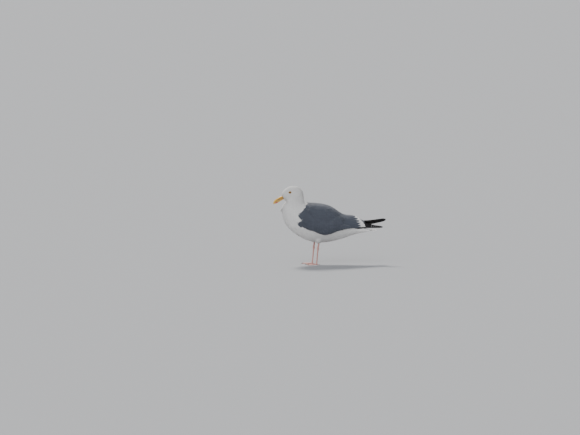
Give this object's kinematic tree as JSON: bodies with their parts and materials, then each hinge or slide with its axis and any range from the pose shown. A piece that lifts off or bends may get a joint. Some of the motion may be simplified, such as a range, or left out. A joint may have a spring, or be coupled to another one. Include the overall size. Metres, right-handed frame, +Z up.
{
  "type": "western gull",
  "caption": "Adult western gull standing with its neck drawn in, hooked bill angled down, slate wings folded over a short white tail, black wing tips crossed and webbed feet flat.",
  "frame": {"origin": "under the middle of the bird's bounding box, on the floor it stands on", "axes": "+X from bill to tail, +Y to the bird's right side, +Z up; the bird faces -X"},
  "size_m": [0.5108, 0.1474, 0.3554],
  "materials": {
    "flesh": "white body feathers over flesh",
    "white_plumage": "white tail feathers and coverts",
    "grey_plumage": "matt slate-grey back and wing feathers",
    "black_plumage": "black primaries with white tips",
    "bill": "yellow horn, red spot near the tip",
    "eye": "pale yellow iris under a clear cornea",
    "leg": "pink scaled skin",
    "claw": "dark horn"
  },
  "bodies": {
    "root": {"head": "flesh", "neck": "flesh", "trunk": "flesh", "thigh_l": "flesh", "thigh_r": "flesh", "rump": "white_plumage", "tail": "white_plumage", "mantle": "grey_plumage", "wing_l": "grey_plumage", "wing_r": "grey_plumage", "primaries_l": "black_plumage", "primaries_r": "black_plumage", "bill_upper": "bill", "bill_lower": "bill", "eye_l": "eye", "eye_r": "eye", "leg_l": "leg", "leg_r": "leg", "foot_l": "leg", "foot_r": "leg", "claw_inner_l": "claw", "claw_middle_l": "claw", "claw_outer_l": "claw", "claw_hind_l": "claw", "claw_inner_r": "claw", "claw_middle_r": "claw", "claw_outer_r": "claw", "claw_hind_r": "claw"}
  },
  "joints": []
}
